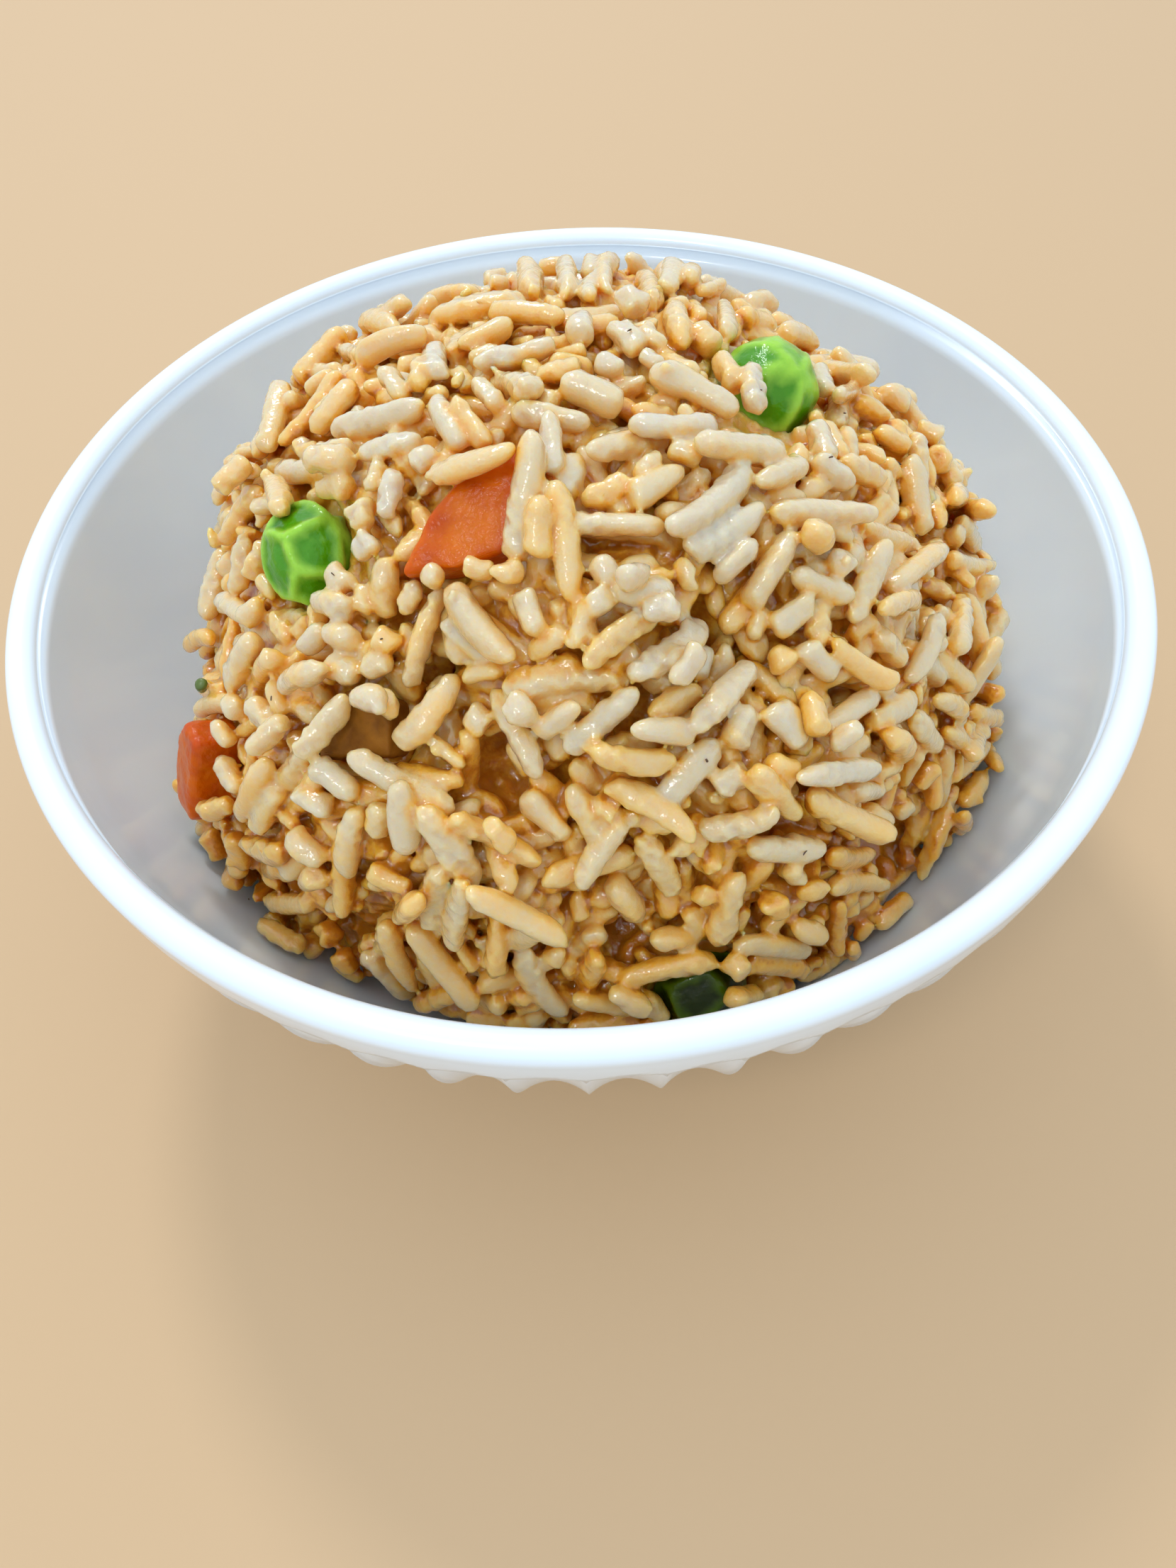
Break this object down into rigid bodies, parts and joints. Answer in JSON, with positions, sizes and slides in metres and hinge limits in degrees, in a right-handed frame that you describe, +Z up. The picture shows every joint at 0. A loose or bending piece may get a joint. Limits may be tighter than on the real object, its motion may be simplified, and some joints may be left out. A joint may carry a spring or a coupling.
{
  "type": "fried rice bowl",
  "caption": "Small white fluted bowl on a foot ring, heaped with a tall mound of fried rice with green peas, carrot and a browned piece.",
  "frame": {"origin": "centre of the foot ring's underside, where the bowl stands", "axes": "+Z up along the bowl's axis; -Y is the side the heap leans to and shows its carrot and peas on; +X is to the right seen from there"},
  "size_m": [0.11, 0.11, 0.0716],
  "materials": {
    "opal_glass": "smooth white opal glass, glossy, a little blue",
    "cooked_rice": "moist cooked rice, cream to tan, stained amber by soy sauce",
    "green_pea": "wrinkled wet pea skin, bright green",
    "cooked_carrot": "moist cooked carrot, orange",
    "browned_food": "browned piece soaked in sauce"
  },
  "bodies": {
    "root": {"bowl": "opal_glass", "fried_rice": "cooked_rice", "pea_left": "green_pea", "pea_right": "green_pea", "pea_front": "green_pea", "carrot_middle": "cooked_carrot", "carrot_left": "cooked_carrot", "browned_piece": "browned_food"}
  },
  "joints": []
}
